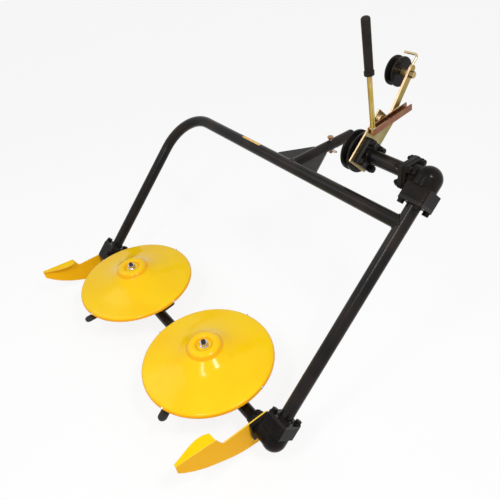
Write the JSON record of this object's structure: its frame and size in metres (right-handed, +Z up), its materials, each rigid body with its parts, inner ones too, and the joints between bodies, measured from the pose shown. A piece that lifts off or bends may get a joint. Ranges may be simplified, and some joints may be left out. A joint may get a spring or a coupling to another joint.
{
  "type": "disc mower",
  "caption": "Front-mounted disc mower attachment with a bent-tube frame, shaft drive through corner gearboxes, dished cutting discs with swinging knives and a belt tension lever.",
  "frame": {"origin": "centre of the rear end of the hitch tube", "axes": "+Y along the hitch tube, back towards the tractor; +X along the cutter bar towards the driven end; +Z up, square to the discs"},
  "size_m": [0.992, 0.8736, 0.8825],
  "materials": {
    "yellow_paint": "glossy yellow enamel",
    "black_paint": "semi-gloss black enamel",
    "knife_steel": "black oil-hardened spring steel",
    "zinc_plate": "yellow-passivated zinc plating",
    "bright_steel": "bright zinc-plated steel",
    "grip_rubber": "matt charcoal rubber",
    "pulley_black": "gloss black painted cast iron"
  },
  "bodies": {
    "frame": {"bearing_flange": "black_paint", "clutch_plate": "zinc_plate", "cutter_bar": "black_paint", "disc_housing_left": "black_paint", "disc_housing_right": "black_paint", "drive_leg": "black_paint", "drive_tube": "black_paint", "frame_tube": "black_paint", "gusset_left": "black_paint", "gusset_right": "black_paint", "hitch_cap": "black_paint", "hitch_pin": "zinc_plate", "hitch_tube": "black_paint", "left_bracket": "black_paint", "left_leg_flange": "black_paint", "lower_gearbox": "black_paint", "lower_leg_flange": "black_paint", "pivot_bolt": "zinc_plate", "runner_left": "yellow_paint", "runner_right": "yellow_paint", "upper_gearbox": "black_paint", "upper_leg_flange": "black_paint"},
    "disc_left": {"disc_left": "yellow_paint", "spindle_left": "bright_steel", "hub_nut_left": "bright_steel", "knife_bolts_left": "zinc_plate"},
    "disc_right": {"disc_right": "yellow_paint", "spindle_right": "bright_steel", "hub_nut_right": "bright_steel", "knife_bolts_right": "zinc_plate"},
    "drive_pulley": {"drive_pulley": "pulley_black", "drive_shaft": "zinc_plate"},
    "tension_lever": {"idler_arm": "zinc_plate", "lever_channel": "zinc_plate", "lever_rod": "zinc_plate", "lever_grip": "grip_rubber", "idler_bolt": "zinc_plate", "belt_guard": "zinc_plate"},
    "idler_pulley": {"idler_pulley": "pulley_black"},
    "knife_left_1": {"knife_left_1": "knife_steel"},
    "knife_left_2": {"knife_left_2": "knife_steel"},
    "knife_left_3": {"knife_left_3": "knife_steel"},
    "knife_left_4": {"knife_left_4": "knife_steel"},
    "knife_right_1": {"knife_right_1": "knife_steel"},
    "knife_right_2": {"knife_right_2": "knife_steel"},
    "knife_right_3": {"knife_right_3": "knife_steel"},
    "knife_right_4": {"knife_right_4": "knife_steel"}
  },
  "joints": [
    {"name": "disc_left_spin", "type": "hinge", "parent": "frame", "child": "disc_left", "pos_m": [-0.31, -0.64402, -0.35311], "axis": [0, 0, 1], "continuous": true},
    {"name": "disc_right_spin", "type": "hinge", "parent": "frame", "child": "disc_right", "pos_m": [0.113, -0.64402, -0.35311], "axis": [0, 0, 1], "continuous": true},
    {"name": "drive_pulley_spin", "type": "hinge", "parent": "frame", "child": "drive_pulley", "pos_m": [0.1895, -0.15293, 0.07494], "axis": [1, 0, 0], "continuous": true},
    {"name": "tension_lever_swing", "type": "hinge", "parent": "frame", "child": "tension_lever", "pos_m": [0.2125, -0.1169, 0.15322], "axis": [1, 0, 0], "range_deg": [-30, 4]},
    {"name": "idler_spin", "type": "hinge", "parent": "tension_lever", "child": "idler_pulley", "pos_m": [0.1895, -0.02772, 0.23019], "axis": [1, 0, 0], "continuous": true},
    {"name": "knife_left_1_swing", "type": "hinge", "parent": "disc_left", "child": "knife_left_1", "pos_m": [-0.15459, -0.60814, -0.36711], "axis": [0, 0, 1], "continuous": true},
    {"name": "knife_left_2_swing", "type": "hinge", "parent": "disc_left", "child": "knife_left_2", "pos_m": [-0.34588, -0.4886, -0.36711], "axis": [0, 0, 1], "continuous": true},
    {"name": "knife_left_3_swing", "type": "hinge", "parent": "disc_left", "child": "knife_left_3", "pos_m": [-0.46541, -0.6799, -0.36711], "axis": [0, 0, 1], "continuous": true},
    {"name": "knife_left_4_swing", "type": "hinge", "parent": "disc_left", "child": "knife_left_4", "pos_m": [-0.27412, -0.79943, -0.36711], "axis": [0, 0, 1], "continuous": true},
    {"name": "knife_right_1_swing", "type": "hinge", "parent": "disc_right", "child": "knife_right_1", "pos_m": [0.26553, -0.59738, -0.36711], "axis": [0, 0, 1], "continuous": true},
    {"name": "knife_right_2_swing", "type": "hinge", "parent": "disc_right", "child": "knife_right_2", "pos_m": [0.06637, -0.49149, -0.36711], "axis": [0, 0, 1], "continuous": true},
    {"name": "knife_right_3_swing", "type": "hinge", "parent": "disc_right", "child": "knife_right_3", "pos_m": [-0.03953, -0.69065, -0.36711], "axis": [0, 0, 1], "continuous": true},
    {"name": "knife_right_4_swing", "type": "hinge", "parent": "disc_right", "child": "knife_right_4", "pos_m": [0.15963, -0.79655, -0.36711], "axis": [0, 0, 1], "continuous": true}
  ],
  "couplings": [
    {"joint": "disc_right_spin", "follows": "disc_left_spin", "ratio": -1},
    {"joint": "drive_pulley_spin", "follows": "disc_left_spin", "ratio": 1}
  ]
}
